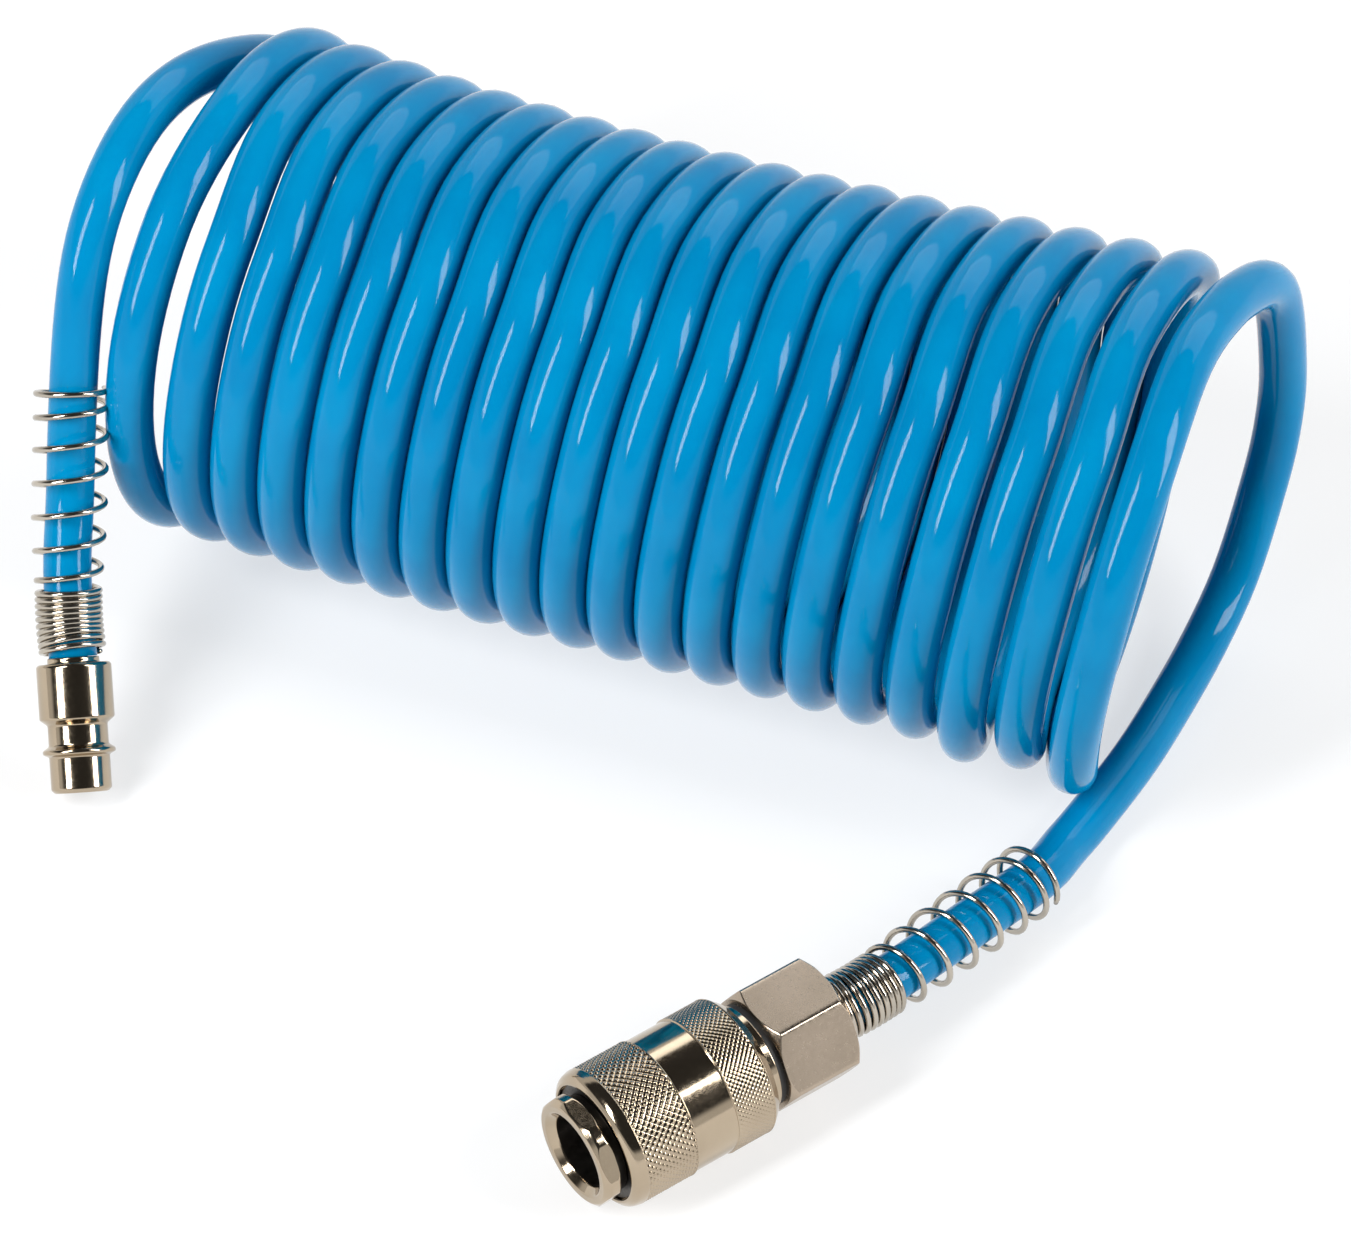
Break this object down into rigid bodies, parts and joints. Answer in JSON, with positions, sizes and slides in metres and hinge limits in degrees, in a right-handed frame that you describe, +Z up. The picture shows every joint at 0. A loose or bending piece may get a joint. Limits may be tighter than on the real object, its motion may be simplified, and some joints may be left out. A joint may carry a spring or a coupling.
{
  "type": "coiled air hose",
  "caption": "Spiral flexible air hose with a quick-connect plug on one end, a sleeve-release coupler on the other, and a kink spring at each end.",
  "frame": {"origin": "middle of the footprint, on the surface that the hose lies on", "axes": "+X along the coil's axis, from the plug end to the coupler end; +Z up; the two fittings lie in front, at -Y"},
  "size_m": [0.1935, 0.1777, 0.0888],
  "materials": {
    "hose": "glossy polyurethane",
    "nickel_plate": "bright nickel plate",
    "bare_brass": "turned",
    "spring_steel": "drawn wire",
    "ball_steel": "polished",
    "seal_rubber": "moulded"
  },
  "bodies": {
    "plug_end": {"hose_coil": "hose", "hose_tail_plug": "hose", "plug_nipple": "nickel_plate", "plug_kink_spring": "spring_steel"},
    "coupler_end": {"hose_tail_coupler": "hose", "coupler_body": "nickel_plate", "coupler_adapter": "nickel_plate", "coupler_kink_spring": "spring_steel", "retaining_ring": "spring_steel", "sleeve_spring": "spring_steel", "mouth_seal": "seal_rubber", "body_seal": "seal_rubber", "valve_spring": "spring_steel"},
    "sleeve": {"release_sleeve": "nickel_plate"},
    "valve": {"valve_poppet": "bare_brass", "valve_seal": "seal_rubber"},
    "ball_1": {"locking_ball_1": "ball_steel"},
    "ball_2": {"locking_ball_2": "ball_steel"},
    "ball_3": {"locking_ball_3": "ball_steel"},
    "ball_4": {"locking_ball_4": "ball_steel"},
    "ball_5": {"locking_ball_5": "ball_steel"},
    "ball_6": {"locking_ball_6": "ball_steel"}
  },
  "joints": [
    {"name": "coil_stretch", "type": "slide", "parent": "plug_end", "child": "coupler_end", "axis": [1, 0, 0], "range_m": [0, 1], "stiffness_N_per_m": 8, "deforming": ["hose_coil"]},
    {"name": "sleeve_slide", "type": "slide", "parent": "coupler_end", "child": "sleeve", "axis": [0.5736, 0.8192, 0], "range_m": [0, 0.0025], "stiffness_N_per_m": 1500, "springref_m": -0.003, "deforming": ["sleeve_spring"]},
    {"name": "valve_slide", "type": "slide", "parent": "coupler_end", "child": "valve", "axis": [0.5736, 0.8192, 0], "range_m": [0, 0.0035], "stiffness_N_per_m": 900, "springref_m": -0.003, "deforming": ["valve_spring"]},
    {"name": "ball_1_slide", "type": "slide", "parent": "coupler_end", "child": "ball_1", "axis": [-0.4096, 0.2868, -0.866], "range_m": [0, 0.00095]},
    {"name": "ball_2_slide", "type": "slide", "parent": "coupler_end", "child": "ball_2", "axis": [-0.8192, 0.5736, 0], "range_m": [0, 0.00095]},
    {"name": "ball_3_slide", "type": "slide", "parent": "coupler_end", "child": "ball_3", "axis": [-0.4096, 0.2868, 0.866], "range_m": [0, 0.00095]},
    {"name": "ball_4_slide", "type": "slide", "parent": "coupler_end", "child": "ball_4", "axis": [0.4096, -0.2868, 0.866], "range_m": [0, 0.00095]},
    {"name": "ball_5_slide", "type": "slide", "parent": "coupler_end", "child": "ball_5", "axis": [0.8192, -0.5736, 0], "range_m": [0, 0.00095]},
    {"name": "ball_6_slide", "type": "slide", "parent": "coupler_end", "child": "ball_6", "axis": [0.4096, -0.2868, -0.866], "range_m": [0, 0.00095]}
  ],
  "couplings": [
    {"joint": "ball_1_slide", "follows": "sleeve_slide", "ratio": 0.38},
    {"joint": "ball_2_slide", "follows": "sleeve_slide", "ratio": 0.38},
    {"joint": "ball_3_slide", "follows": "sleeve_slide", "ratio": 0.38},
    {"joint": "ball_4_slide", "follows": "sleeve_slide", "ratio": 0.38},
    {"joint": "ball_5_slide", "follows": "sleeve_slide", "ratio": 0.38},
    {"joint": "ball_6_slide", "follows": "sleeve_slide", "ratio": 0.38}
  ]
}
